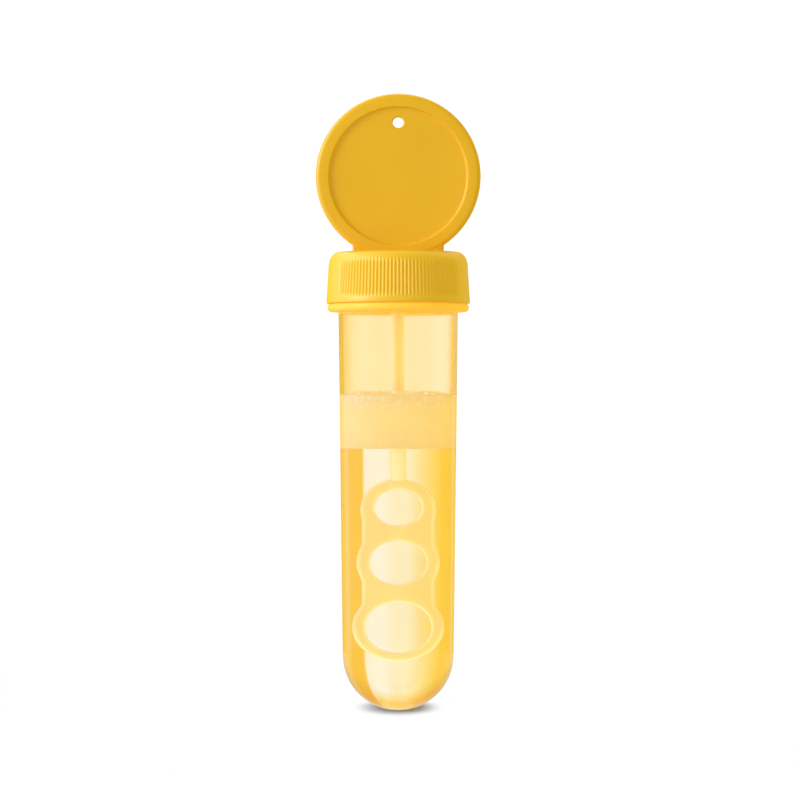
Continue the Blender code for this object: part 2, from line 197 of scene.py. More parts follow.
print("a turned ring:", len(turn_outline([(1, 0), (2, 0), (2, 1)], even_angles(12)).faces), "faces")

# %% [markdown]
# A modifier changes a mesh only while it is on the piece. Here its result is taken as the new mesh at
# once and the modifier is removed, so that what is exported is what is seen. The first one used is the
# Boolean, which joins two closed meshes or cuts one with the other without leaving faces inside.

# %% Keep what a modifier makes


def evaluated_mesh(piece):
    graph = bpy.context.evaluated_depsgraph_get()
    return bpy.data.meshes.new_from_object(piece.evaluated_get(graph))


def apply_modifiers(piece):
    mesh = evaluated_mesh(piece)
    piece.modifiers.clear()
    piece.data = mesh
    return len(mesh.polygons)


def combine(piece, tool, operation):
    """Join or cut with another closed mesh, then throw the tool away."""
    modifier = piece.modifiers.new("combine", "BOOLEAN")
    modifier.object = tool
    modifier.operation = operation
    modifier.solver = "MANIFOLD"
    count = apply_modifiers(piece)
    bpy.data.objects.remove(tool, do_unlink=True)
    return count


# %% [markdown]
# Materials, the surround and Geometry Nodes are all trees of nodes. Wiring them one link at a time makes
# long scripts, so each helper here adds a node and wires it in one line. Whatever it is given for an
# input may be a plain value or another node's output. Colours are written as on a screen, 0 to 255, and
# turned into the linear values that Blender mixes.

# %% Helpers for node trees


def screen(red, green, blue):
    shares = [c / 255 for c in (red, green, blue)]
    return tuple(s / 12.92 if s <= 0.04045 else ((s + 0.055) / 1.055) ** 2.4 for s in shares) + (1.0,)


def feed(tree, socket, value):
    """Link another node's output to the socket, or give the socket a plain value."""
    if isinstance(value, bpy.types.NodeSocket):
        tree.links.new(value, socket)
    else:
        socket.default_value = value


def node(tree, kind, **settings):
    """Add a node. in_0, in_1 and so on are its inputs by number, the rest its own settings."""
    made = tree.nodes.new(kind)
    for key, value in settings.items():
        if key.startswith("in_"):
            feed(tree, made.inputs[int(key[3:])], value)
        else:
            setattr(made, key, value)
    return made


def fill(tree, made, **values):
    """Feed the inputs of a node by their names, with _ for a space."""
    for name, value in values.items():
        feed(tree, made.inputs[name.replace("_", " ")], value)
    return made


def calc(tree, operation, *values):
    inputs = {f"in_{index}": value for index, value in enumerate(values)}
    return node(tree, "ShaderNodeMath", operation=operation, **inputs).outputs[0]


def between(tree, value, low, high, start=0.0, end=1.0, soft=False):
    """start where the value is low, end where it is high, and in between on a line or a soft curve."""
    return node(tree, "ShaderNodeMapRange", interpolation_type="SMOOTHSTEP" if soft else "LINEAR",
                in_0=value, in_1=low, in_2=high, in_3=start, in_4=end).outputs[0]


def blend(tree, share, first, second, kind="MIX"):
    return node(tree, "ShaderNodeMix", data_type="RGBA", blend_type=kind, in_0=share, in_6=first,
                in_7=second).outputs[2]


def open_group(name, kind, inputs, outputs):
    """A node group: inputs are (name, type, default) and outputs (name, type)."""
    tree = bpy.data.node_groups.new(name, kind)
    for label, socket_type, default in inputs:
        socket = tree.interface.new_socket(label, in_out="INPUT", socket_type="NodeSocket" + socket_type)
        if default is not None:
            socket.default_value = default
    for label, socket_type in outputs:
        tree.interface.new_socket(label, in_out="OUTPUT", socket_type="NodeSocket" + socket_type)
    return tree, tree.nodes.new("NodeGroupInput").outputs, tree.nodes.new("NodeGroupOutput")


print("yellow in linear values:", [round(value, 3) for value in screen(253, 203, 42)])

# %% [markdown]
# Two node groups are shared by the materials. The first gives the faint cloudiness of moulded plastic and
# its fine surface. The second tells how high a point lies, because the tube is hazy above the liquid,
# where drops and dried film cling to it, and clear where it is wet.

# %% Shared node groups


def moulded_group():
    tree, given, out = open_group(
        "moulded_plastic", "ShaderNodeTree",
        (("Colour", "Color", (1, 1, 1, 1)), ("Cloudiness", "Float", 0.04), ("Cloud Size", "Float", 120.0),
         ("Roughness", "Float", 0.3), ("Grain Size", "Float", 2500.0)),
        (("Colour", "Color"), ("Roughness", "Float"), ("Height", "Float")))
    place = tree.nodes.new("ShaderNodeTexCoord").outputs["Object"]
    cloud = node(tree, "ShaderNodeTexNoise", in_0=place, in_2=given["Cloud Size"], in_3=2.0,
                 in_4=0.5).outputs["Fac"]
    grain = node(tree, "ShaderNodeTexNoise", in_0=place, in_2=given["Grain Size"], in_3=1.0)
    darkest = calc(tree, "SUBTRACT", 1.0, given["Cloudiness"])
    shade = between(tree, cloud, 0.3, 0.7, darkest, 1.0)
    rough = node(tree, "ShaderNodeMath", operation="ADD", use_clamp=True, in_0=given["Roughness"],
                 in_1=between(tree, cloud, 0.0, 1.0, -0.04, 0.04))
    fill(tree, out, Colour=blend(tree, 1.0, given["Colour"], shade, "MULTIPLY"),
         Roughness=rough.outputs[0], Height=grain.outputs["Fac"])
    return tree


def height_group():
    tree, given, out = open_group("height_on_tube", "ShaderNodeTree",
                                  (("From", "Float", 0.056), ("To", "Float", 0.058)),
                                  (("Share", "Float"),))
    place = tree.nodes.new("ShaderNodeTexCoord").outputs["Object"]
    z = node(tree, "ShaderNodeSeparateXYZ", in_0=place).outputs["Z"]
    fill(tree, out, Share=between(tree, z, given["From"], given["To"], soft=True))
    return tree


MOULDED, HEIGHT = moulded_group(), height_group()
print("node groups:", MOULDED.name, HEIGHT.name)

# %% [markdown]
# A plastic material is the moulded group in front of one Principled shader. Numbers that are the same
# all over the surface are set straight on the shader. A faint bump of the grain keeps wide gloss from
# looking like glass.

# %% A material for moulded plastic


def new_material(name):
    material = bpy.data.materials.new(name)
    material.use_nodes = True
    return material, material.node_tree


def share_of_height(tree, low, high):
    group = node(tree, "ShaderNodeGroup", node_tree=HEIGHT)
    return fill(tree, group, From=low, To=high).outputs["Share"]


def second_colour(tree, mask, first, second):
    """Blend from the first colour to the second where the mask is 1, in front of the moulded group."""
    fill(tree, tree.nodes["Group"], Colour=blend(tree, mask, first, second))


def moulded_material(name, colour, roughness, cloudiness=0.04, cloud_size=120.0, grain=0.02,
                     shaded_top=None, **constants):
    """A plastic material. The optional (colour, from, to) is a second colour above those two heights in
    metres, a painted shade.
    """
    material, tree = new_material(name)
    moulded = fill(tree, node(tree, "ShaderNodeGroup", node_tree=MOULDED), Colour=colour,
                   Cloudiness=cloudiness, Cloud_Size=cloud_size, Roughness=roughness)
    if shaded_top:
        second_colour(tree, share_of_height(tree, *shaded_top[1:]), colour, shaded_top[0])
    bump = fill(tree, node(tree, "ShaderNodeBump"), Strength=grain, Distance=0.0002,
                Height=moulded.outputs["Height"])
    fill(tree, tree.nodes["Principled BSDF"], Normal=bump.outputs["Normal"],
         Base_Color=moulded.outputs["Colour"], Roughness=moulded.outputs["Roughness"], **constants)
    return material


def dress(piece, material, body, slot, *nodes):
    """Give the piece its material and body, and hide the CAD nodes that it stands for. The slot is not
    used.
    """
    piece.data.materials.clear()
    piece.data.materials.append(material)
    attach(piece, body)
    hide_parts(*nodes)
    print(piece.name, len(piece.data.polygons), "faces,", material.name)


# %% [markdown]
# The tube is blown or moulded in one piece: a round end, a wall that widens slightly upwards, a flange
# that stops the cap, and a neck. The outline runs up the inside and down the outside. The round end is
# a superellipse, which fits the photograph's outline better than a ball or an ellipse. The neck and the
# flange are a mesh of their own here, because their thicker plastic is hazier than the wall's and they
# carry a faint painted glow. The two meshes overlap by 0.15 millimetres.

# %% The tube's outline
END_POWER = 2.2


def round_end(inset, points=22):
    """(radius, height) from the bottom of the round end up to where the straight wall starts."""
    result = []
    for index in range(points):
        share = math.sin(math.pi / 2 * index / (points - 1))
        fall = (1 - share ** 2) ** (1 / END_POWER)
        result.append(((END_RADIUS - inset) * share, END_HEIGHT - (END_HEIGHT - inset) * fall))
    return result


def wall_radius(height, inset=0.0):
    share = (height - END_HEIGHT) / (SHOULDER_HEIGHT - END_HEIGHT)
    return END_RADIUS + (SHOULDER_RADIUS - END_RADIUS) * share - inset


JOINT = SHOULDER_HEIGHT - 0.35
wall_heights = [20, 30, 40, 50, 60, 70, 80, JOINT]
tube_outline = round_end(WALL)
tube_outline += [(wall_radius(z, WALL), z) for z in wall_heights]
tube_outline += [(wall_radius(z), z) for z in reversed(wall_heights)]
tube_outline += list(reversed(round_end(0)))
foot = JOINT - 0.15
neck_corners = [(BORE + 0.55, foot, 0), (BORE + 0.05, foot, 0.05), (BORE, foot + 0.2, 0.05),
                (BORE, NECK_TOP, 0.35), (SHOULDER_RADIUS, NECK_TOP, 0.35),
                (SHOULDER_RADIUS, FLANGE_TOP, 0.25), (FLANGE_RADIUS, FLANGE_TOP, 0.7),
                (FLANGE_RADIUS, SHOULDER_HEIGHT, 0.8), (SHOULDER_RADIUS, SHOULDER_HEIGHT, 0.3),
                (SHOULDER_RADIUS, foot + 0.2, 0.05), (SHOULDER_RADIUS - 0.05, foot, 0.05),
                (BORE + 0.6, foot, 0)]
print("tube outline:", len(tube_outline), "points, neck outline:", len(rounded(neck_corners)))

# %% [markdown]
# A screw thread is a small rounded ridge swept along a helix. It is laid ring by ring: each ring is the
# ridge's section, a little further round and a little higher. Its ends fade into the wall. The neck's
# ridge points outwards and the cap's points inwards, and the two lie half a pitch apart.

# %% The screw thread
SECTION_HEIGHT, FADE_ANGLE = 0.95, 24
THREAD_BELOW_RIM, THREAD_ABOVE_EDGE = 1.75, 1.2


def thread_ridge(name, root, crest, start_angle, start_height, steps=120):
    """A ridge from the root's radius to the crest's. Its section's points are (out, up)."""
    outward = math.copysign(1, crest - root)
    section = [(-0.3, -0.65), (0.0, -0.65), (0.35, -0.47), (0.8, -0.3), (SECTION_HEIGHT, 0.0),
               (0.8, 0.3), (0.35, 0.47), (0.0, 0.65), (-0.3, 0.65)]
    depth = abs(crest - root)
    bm = bmesh.new()
    rings = []
    for step in range(steps + 1):
        share = step / steps
        turned = THREAD_TURNS * 360 * share
        fade = min(1.0, max(0.04, min(turned, THREAD_TURNS * 360 - turned) / FADE_ANGLE))
        angle = math.radians(start_angle + turned)
        ring = []
        for out, up in section:
            reach = out * depth / SECTION_HEIGHT * fade if out > 0 else out
            radius = root + outward * reach
            ring.append(bm.verts.new((radius * math.cos(angle), radius * math.sin(angle),
                                      start_height + PITCH * turned / 360 + up)))
        rings.append(ring)
    count = len(section)
    for lower, upper in zip(rings, rings[1:]):
        for i in range(count):
            j = (i + 1) % count
            bm.faces.new((lower[i], lower[j], upper[j], upper[i]))
    bm.faces.new(rings[0])
    bm.faces.new(rings[-1])
    return finish_mesh(name, bm)


neck_thread_start = NECK_TOP - THREAD_BELOW_RIM - THREAD_TURNS * PITCH
tube = finish_mesh("moulded_tube", turn_outline(tube_outline, even_angles(192)))
neck = finish_mesh("neck_and_flange", turn_outline(rounded(neck_corners), even_angles(192), closed=True))
ridge = thread_ridge("neck_ridge", SHOULDER_RADIUS, SHOULDER_RADIUS + RIDGE_HEIGHT, 0,
                     neck_thread_start)
print("neck with thread:", combine(neck, ridge, "UNION"), "faces")
smooth(neck.data)

# %% [markdown]
# The tube is clear yellow plastic. Its colour comes from light being absorbed along the way through the
# wall, which is why the edges, where the way is longest, are gold and the middle is nearly clear. Above
# the liquid the wall carries a film of dried solution: the height group makes it more yellow and a
# little rough there.

# %% The tube's material


def clear_plastic():
    material, tree = new_material("clear_yellow_plastic")
    dry = share_of_height(tree, 0.0555, 0.0575)
    moulded = fill(tree, node(tree, "ShaderNodeGroup", node_tree=MOULDED), Cloudiness=0.02,
                   Cloud_Size=90.0, Roughness=between(tree, dry, 0.0, 1.0, 0.03, 0.12),
                   Colour=blend(tree, dry, (1.0, 1.0, 1.0, 1.0), (1.0, 0.975, 0.895, 1.0)))
    fill(tree, tree.nodes["Principled BSDF"], Metallic=0.0, IOR=1.4, Transmission_Weight=1.0,
         Base_Color=moulded.outputs["Colour"], Roughness=moulded.outputs["Roughness"])
    absorb = fill(tree, node(tree, "ShaderNodeVolumeAbsorption"), Color=(1.0, 0.8, 0.067, 1.0),
                  Density=115.0)
    fill(tree, tree.nodes["Material Output"], Volume=absorb.outputs[0])
    return material


dress(tube, clear_plastic(), "tube", "tube", "tube")
# The flange's faint glow is painted light: it stands for the light that clear plastic carries to its edges
thick_plastic_with_glow = moulded_material("thick_yellow_plastic_painted_glow", screen(253, 214, 86), 0.3, 0.04, 90.0, 0.0,
                                 IOR=1.3, Transmission_Weight=0.25,
                                 Emission_Color=screen(255, 212, 80), Emission_Strength=0.18)
dress(neck, thick_plastic_with_glow, "tube", "tube", "tube")

# %% [markdown]
# The sealing ring is a soft washer of off-white plastic that is squeezed between the neck's rim and the
# cap's roof. It can't be seen until the cap is off. Its edges are rounded, as on a punched soft part.

# %% The sealing ring
seal_inner = BORE - 1.2
seal_corners = [(seal_inner, SEAL_BOTTOM + 0.5, 0), (seal_inner, SEAL_TOP, 0.25),
                (SHOULDER_RADIUS, SEAL_TOP, 0.25), (SHOULDER_RADIUS, SEAL_BOTTOM, 0.25),
                (seal_inner, SEAL_BOTTOM, 0.25), (seal_inner, SEAL_BOTTOM + 0.4, 0)]
seal = finish_mesh("soft_sealing_ring", turn_outline(rounded(seal_corners, 4), even_angles(128),
                                                     closed=True))
seal_plastic = moulded_material("off_white_soft_plastic", screen(240, 236, 226), 0.55, 0.06, 300.0,
                                0.1)
dress(seal, seal_plastic, "ring", "seal", "sealing_ring")

# %% [markdown]
# The cap is turned like the tube, but its outline also has the bore, and the socket in the middle that
# holds the wand's stem. Fine grip grooves need many faces, so the angles are close together only in the
# two sectors that carry grooves, 60 degrees each way at the front and at the back.

# %% The cap's shell
SECTOR, GROOVE_PITCH, SMOOTH_STEP = 60.0, 3.0, 3.0
groove_step = GROOVE_PITCH / 8
CORNER_WIDTH, CORNER_HEIGHT = 2.2, 3.2
DRAFT_HEIGHT = 7.5
SOCKET_WALL, SNAP_DEPTH = 1.45, 0.5


def cap_angles():
    angles = []
    for centre in (-90, 90):
        angle = centre - SECTOR
        while angle < centre + SECTOR - 1e-6:
            angles.append(angle)
            angle += groove_step
        while angle < centre + 180 - SECTOR - 1e-6:
            angles.append(angle)
            angle += SMOOTH_STEP
    return angles


corner = []
for step in range(13):
    a = math.pi / 2 * (1 - step / 12)
    corner.append((CAP_TOP_RADIUS - CORNER_WIDTH + CORNER_WIDTH * math.cos(a),
                   CAP_TOP - CORNER_HEIGHT + CORNER_HEIGHT * math.sin(a)))
wall_steps = [CAP_EDGE + share * (CAP_TOP - CORNER_HEIGHT - CAP_EDGE) for share in
              (0.96, 0.9, 0.8, 0.6, 0.4, 0.3, 0.26, 0.23, 0.2, 0.17, 0.1)]
cap_wall = [(CAP_TOP_RADIUS + CAP_DRAFT * (CAP_TOP - CORNER_HEIGHT - z) / DRAFT_HEIGHT, z)
            for z in wall_steps]
cap_rim = CAP_EDGE - 0.37  # lower than the CAD model's edge, as in the photograph
inside_corners = [(CAP_RADIUS, CAP_EDGE + 0.6, 0), (CAP_RADIUS, cap_rim, 0.14),
                  (CAP_BORE, cap_rim, 0.3), (CAP_BORE, ROOF_UNDERSIDE, 0.5),
                  (SOCKET_RADIUS + SOCKET_WALL, ROOF_UNDERSIDE, 0.4),
                  (SOCKET_RADIUS + SOCKET_WALL, SOCKET_MOUTH, 0.3),
                  (SOCKET_RADIUS, SOCKET_MOUTH, 0.3), (SOCKET_RADIUS, SNAP_HEIGHT - 1.5, 0),
                  (SOCKET_RADIUS + SNAP_DEPTH, SNAP_HEIGHT - 0.6, 0),
                  (SOCKET_RADIUS + SNAP_DEPTH, SNAP_HEIGHT + 0.6, 0),
                  (SOCKET_RADIUS, SNAP_HEIGHT + 1.5, 0), (SOCKET_RADIUS, SOCKET_TOP, 0),
                  (0, SOCKET_TOP, 0)]
cap_outline = [(0, CAP_TOP), (6, CAP_TOP), (11, CAP_TOP)] + corner + cap_wall
cap_outline += rounded(inside_corners, 4)
cap = finish_mesh("grooved_cap", turn_outline(cap_outline, cap_angles()))
print("cap shell:", len(cap.data.polygons), "faces")

# %% [markdown]
# The grooves repeat every 3 degrees, which is work for Geometry Nodes. For each point the tree finds its
# angle round the axis and how far it is from the middle of its groove, and moves it inwards by the
# groove's depth there. Masks fade the grooves out at both ends, at the sides, and on every surface but
# the outer one.

# %% A geometry node tree for the grip grooves
BORE_TOLERANCE = 0.00003


def groove_tree():
    tree, given, out = open_group(
        "grip_grooves", "GeometryNodeTree",
        (("Geometry", "Geometry", None), ("Depth", "Float", 0.00024),
         ("Pitch", "Float", math.radians(GROOVE_PITCH)), ("Sector", "Float", math.radians(SECTOR)),
         ("Bottom", "Float", 0.0892), ("Top", "Float", 0.0973), ("Outer Radius", "Float", 0.0138),
         ("Plastic", "Material", None)), (("Geometry", "Geometry"),))
    tree.is_modifier = True

    def find(operation, *values):
        return calc(tree, operation, *values)

    def rest_of(share):
        return find("SUBTRACT", 1.0, share)

    place = tree.nodes.new("GeometryNodeInputPosition").outputs[0]
    x, y, z = node(tree, "ShaderNodeSeparateXYZ", in_0=place).outputs
    angle = find("ARCTAN2", x, find("ABSOLUTE", y))
    part = find("FRACT", find("ADD", find("DIVIDE", angle, given["Pitch"]), 1000.0))
    away = find("MULTIPLY", find("ABSOLUTE", find("SUBTRACT", part, 0.5)), 2.0)
    groove = rest_of(between(tree, away, 0.05, 0.8, soft=True))
    sides = rest_of(between(tree, find("ABSOLUTE", angle), find("SUBTRACT", given["Sector"], 0.14),
                            given["Sector"], soft=True))
    bottom = between(tree, z, given["Bottom"], find("ADD", given["Bottom"], 0.0003), soft=True)
    top = rest_of(between(tree, z, find("SUBTRACT", given["Top"], 0.0012), given["Top"], soft=True))
    radius = find("SQRT", find("ADD", find("MULTIPLY", x, x), find("MULTIPLY", y, y)))
    bore = find("LESS_THAN", find("ABSOLUTE", find("SUBTRACT", radius, CAP_BORE * MM)),
                BORE_TOLERANCE)
    outer = find("SUBTRACT", find("GREATER_THAN", radius, given["Outer Radius"]), bore)
    amount = groove
    for mask in (sides, bottom, top, outer, given["Depth"]):
        amount = find("MULTIPLY", amount, mask)
    share = find("DIVIDE", amount, radius)
    inwards = [find("MULTIPLY", find("MULTIPLY", way, share), -1.0) for way in (x, y)]
    move = node(tree, "ShaderNodeCombineXYZ", in_0=inwards[0], in_1=inwards[1])
    moved = fill(tree, node(tree, "GeometryNodeSetPosition"), Geometry=given["Geometry"],
                 Offset=move.outputs[0])
    real = node(tree, "GeometryNodeRealizeInstances", in_0=moved.outputs[0])
    painted = fill(tree, node(tree, "GeometryNodeSetMaterial"), Geometry=real.outputs[0],
                   Material=given["Plastic"])
    fill(tree, out, Geometry=painted.outputs[0])
    return tree


def run_tree(piece, tree, **values):
    """Apply a geometry node tree to a piece: set its inputs by identifier, evaluate, keep the mesh."""
    modifier = piece.modifiers.new(tree.name, "NODES")
    modifier.node_group = tree
    identifiers = {item.name: item.identifier for item in tree.interface.items_tree
                   if item.item_type == "SOCKET" and item.in_out == "INPUT"}
    for name, value in values.items():
        modifier[identifiers[name.replace("_", " ")]] = value
    return apply_modifiers(piece)


# The disc handle, its foot and the cap's top are painted a darker orange than the wall below them: painted
# shade, so that they look less lit.
cap_plastic = moulded_material("satin_yellow_plastic_painted_shade", screen(253, 203, 42), 0.38, 0.05, 60.0, 0.03,
                               shaded_top=(screen(243, 188, 6), 0.0975, 0.0995), Specular_IOR_Level=0.7)
print("grooved cap:", run_tree(cap, groove_tree(), Plastic=cap_plastic), "faces")

# %% [markdown]
# The disc handle is turned round the Y axis: a rounded rim, a shallow recess on both faces with a sloping
# edge, and a thin floor. A foot, whose top follows the rim, joins it to the cap's roof, and a small hole
# near the top takes a cord. All three belong to the cap's own moulding, so they are joined to it.

# %% The disc handle
half_rim = [(0, RECESS_HALF, 0), (RECESS_RADIUS - 0.2, RECESS_HALF, 0.25), (RECESS_RADIUS, DISC_HALF, 0.25),
            (DISC_RADIUS, DISC_HALF, 0.95), (DISC_RADIUS, 0, 0)]
front_half = rounded(half_rim, 7)
disc_outline = front_half + [(r, -h) for r, h in reversed(front_half[:-1])]
disc = finish_mesh("disc_handle", turn_outline(disc_outline, even_angles(180), axis="Y"))

FOOT_HALF, FOOT_DEPTH, FOOT_CURVE, FOOT_SINK = 9.85, 1.6, 16.4, 1.2
FOOT_BOTTOM = CAP_TOP - FOOT_SINK
foot_outline = [(-FOOT_HALF, FOOT_BOTTOM), (FOOT_HALF, FOOT_BOTTOM)]
for step in range(13):
    x = FOOT_HALF - 2 * FOOT_HALF * step / 12
    foot_outline.append((x, DISC_HEIGHT - math.sqrt(FOOT_CURVE ** 2 - x ** 2)))
bm = bmesh.new()
back = [bm.verts.new((x, FOOT_DEPTH, z)) for x, z in foot_outline]
front = [bm.verts.new((x, -FOOT_DEPTH, z)) for x, z in foot_outline]
bm.faces.new(back)
bm.faces.new(list(reversed(front)))
for i in range(len(back)):
    j = (i + 1) % len(back)
    bm.faces.new((back[i], front[i], front[j], back[j]))
upright = [e for e in bm.edges if min(abs(v.co.x) for v in e.verts) > FOOT_HALF - 0.05
           and e.verts[0].co.x * e.verts[1].co.x > 0 and e.verts[0].co.y * e.verts[1].co.y > 0]
bmesh.ops.bevel(bm, geom=upright, offset=0.45, segments=3, affect="EDGES", profile=0.5)
handle_foot = finish_mesh("handle_foot", bm)

hole_outline = [(0, 3), (HOLE_RADIUS + 2.1, 3), (HOLE_RADIUS, RECESS_HALF - 0.2)]
hole_outline += [(r, -h) for r, h in reversed(hole_outline)]
hole = finish_mesh("cord_hole", turn_outline(hole_outline, even_angles(48), axis="Y"))
for vertex in hole.data.vertices:
    vertex.co.z += (HOLE_HEIGHT - DISC_HEIGHT) * MM

cap_thread_start = THREAD_ABOVE_EDGE + CAP_EDGE
cap_thread_angle = 360 * (cap_thread_start - (neck_thread_start - PITCH / 2)) / PITCH
cap_ridge = thread_ridge("cap_ridge", CAP_BORE, SHOULDER_RADIUS + RUNNING_GAP, cap_thread_angle,
                         cap_thread_start)
for tool, operation in ((handle_foot, "UNION"), (disc, "UNION"), (hole, "DIFFERENCE"),
                        (cap_ridge, "UNION")):
    print("cap after", tool.name, combine(cap, tool, operation), "faces")
smooth(cap.data, 40)
dress(cap, cap_plastic, "cap", "cap", "screw_cap")

# %% [markdown]
# The wand is a flat moulding: three rings joined by webs. Its outline is the widest of the three circles
# and the web at each height, blended smoothly where they meet, as a mould's corners are. A filled curve
# with a bevel gives it thickness and round edges in one step, and is then turned into a mesh.

# %% The wand's outline


def blend_max(first, second, softness):
    share = max(softness - abs(first - second), 0) / softness
    return max(first, second) + share * share * softness / 4


def wand_half_width(z):
    widest = -1.0
    low, high = LOOPS[-1][0], LOOPS[0][0]
    if low <= z <= high:
        widest = WEB_HALF
    for centre, _, across, upright in LOOPS:
        share = 1 - ((z - centre) / upright) ** 2
        if share > 0:
            half = across * math.sqrt(share)
            widest = blend_max(widest, half, 0.8) if widest > 0 else half
    return widest


bottom, top = LOOPS[-1][0] - LOOPS[-1][3], LOOPS[0][0] + LOOPS[0][3]
right_side = []
samples = 150
for index in range(1, samples):
    z = bottom + (top - bottom) * (1 - math.cos(math.pi * index / samples)) / 2
    right_side.append((wand_half_width(z), z))
outline = [(0, bottom)] + right_side + [(0, top)] + [(-x, z) for x, z in reversed(right_side)]

curve = bpy.data.curves.new("wand_outline", "CURVE")
curve.dimensions = "2D"
curve.fill_mode = "BOTH"
edge_rounding = 0.78
curve.extrude = WAND_HALF - edge_rounding
curve.bevel_depth = edge_rounding
curve.bevel_resolution = 4
curve.offset = -edge_rounding


def add_loop(points):
    spline = curve.splines.new("POLY")
    spline.points.add(len(points) - 1)
    for point, (x, y) in zip(spline.points, points):
        point.co = (x, y, 0, 1)
    spline.use_cyclic_u = True


add_loop(outline)
for centre, hole_radius, _, _ in LOOPS:
    add_loop([(hole_radius * math.cos(math.radians(a)), centre + hole_radius * math.sin(math.radians(a)))
              for a in range(0, 360, 4)])
flat = place_in_scene("wand_outline", curve)
bm = bmesh.new()
bm.from_mesh(evaluated_mesh(flat))
bpy.data.objects.remove(flat, do_unlink=True)
for vertex in bm.verts:
    x, y, z = vertex.co
    vertex.co = (x, -z, y)
wand = finish_mesh("dipping_wand", bm)
print("wand:", len(wand.data.polygons), "faces")

# %% [markdown]
# The stem is turned. Near its tip a small bead snaps into the groove of the cap's socket. Its lower end is
# pressed flatter and flatter, so that it runs into the flat top ring without a step. The rounded edges are
# painted paler than the flat front and back: a painted highlight for the light that leaves the plastic
# there.

# %% The wand's stem
SLIM_RADIUS, STEM_BOTTOM, FLAT_BELOW = 1.3, 49.0, 55
flat_colour, edge_highlight = screen(255, 231, 178), screen(255, 248, 222)
wand_plastic = moulded_material("pale_yellow_plastic", flat_colour, 0.3, 0.05, 80.0, 0.02,
                                IOR=1.1, Transmission_Weight=0.45)
tree = wand_plastic.node_tree
place = tree.nodes.new("ShaderNodeTexCoord").outputs["Object"]
depth = calc(tree, "ABSOLUTE", node(tree, "ShaderNodeSeparateXYZ", in_0=place).outputs["Y"])
# The mask paints the paler colour on the rounded edges only: a painted highlight.
second_colour(tree, between(tree, depth, 0.00109, 0.0009, soft=True), flat_colour, edge_highlight)
stem_corners = [(0, STEM_TOP, 0), (STEM_RADIUS, STEM_TOP, 0.4), (STEM_RADIUS, SNAP_HEIGHT + 1.2, 0),
                (STEM_RADIUS + SNAP_DEPTH, SNAP_HEIGHT + 0.6, 0.2),
                (STEM_RADIUS + SNAP_DEPTH, SNAP_HEIGHT - 0.6, 0.2),
                (STEM_RADIUS, SNAP_HEIGHT - 1.2, 0), (STEM_RADIUS, 90.0, 1.0),
                (SLIM_RADIUS, 87.0, 3.0), (SLIM_RADIUS, STEM_BOTTOM, 0), (0, STEM_BOTTOM, 0)]
stem_bm = turn_outline(rounded(stem_corners, 5), even_angles(48))
for vertex in stem_bm.verts:
    if vertex.co.z < FLAT_BELOW:
        share = min(1.0, (FLAT_BELOW - vertex.co.z) / 5)
        vertex.co.y *= 1 - 0.35 * share
stem = finish_mesh("wand_stem", stem_bm)
combine(wand, stem, "UNION")
smooth(wand.data, 40)
dress(wand, wand_plastic, "cap", "wand", "wand")

# %% [markdown]
# The solution fills the tube to about half. Where a liquid touches clear plastic, hardly any light is
# turned back, so the two must not have air between them. The liquid's outside is therefore set a
# twentieth of a millimetre into the wall. Its surface climbs a little where it meets the wall.

# %% The bubble solution
liquid_outline = [(0, LIQUID_TOP), (6, LIQUID_TOP), (10, LIQUID_TOP), (11.2, LIQUID_TOP + 0.03),
                  (wall_radius(LIQUID_TOP + 0.1, WALL - 0.05), LIQUID_TOP + 0.1)]
liquid_outline += [(wall_radius(z, WALL - 0.05), z) for z in (50, 40, 30, 20)]
liquid_outline += list(reversed(round_end(WALL - 0.05)))
liquid = finish_mesh("bubble_liquid", turn_outline(liquid_outline, even_angles(128)))
soap = moulded_material("soap_solution", screen(255, 254, 252), 0.0, 0.02, 60.0, 0.0, IOR=1.33,
                        Transmission_Weight=1.0)
dress(liquid, soap, "contents", "solution", "bubble_solution")

# %% [markdown]
# Foam is thousands of small bubbles, far too many to build. Its mass is one turned body, and a noise
# lifts and lowers the points of its top, so that it lies unevenly as suds do.

# %% The foam
foam_outline = [(0, FOAM_TOP), (3, FOAM_TOP), (6, FOAM_TOP), (8, FOAM_TOP), (9.5, FOAM_TOP - 0.1),
                (10.6, FOAM_TOP - 0.3), (11.2, FOAM_TOP - 0.5),
                (wall_radius(FOAM_TOP - 0.6, WALL - 0.07), FOAM_TOP - 0.6)]
foam_bottom = LIQUID_TOP - 0.2
foam_outline += [(wall_radius(z, WALL - 0.07), z) for z in (65, 62, 59, 57, foam_bottom)]
foam_outline += [(11, foam_bottom), (5, foam_bottom), (0, foam_bottom)]
foam_bm = turn_outline(foam_outline, even_angles(96))
for vertex in foam_bm.verts:
    if vertex.co.z > FOAM_TOP - 1.5:
        swell = noise.noise(Vector((vertex.co.x * 0.35 + 4, vertex.co.y * 0.35, 1.7)))
        vertex.co.z += 0.4 * swell
foam = finish_mesh("wet_foam", foam_bm, sharp=60)
print("foam:", len(foam.data.polygons), "faces")

# %% [markdown]
# The foam's mass shows single bubbles only on top, where the light picks them out. A geometry node tree
# scatters small spheres there with a fixed seed, so that every run gives the same foam, and presses in
# those that would stand through the tube's wall. Near the top of the side, where the bubbles lie flat
# against the wall, cells drawn by a pattern are enough.

# %% Bubbles on the foam


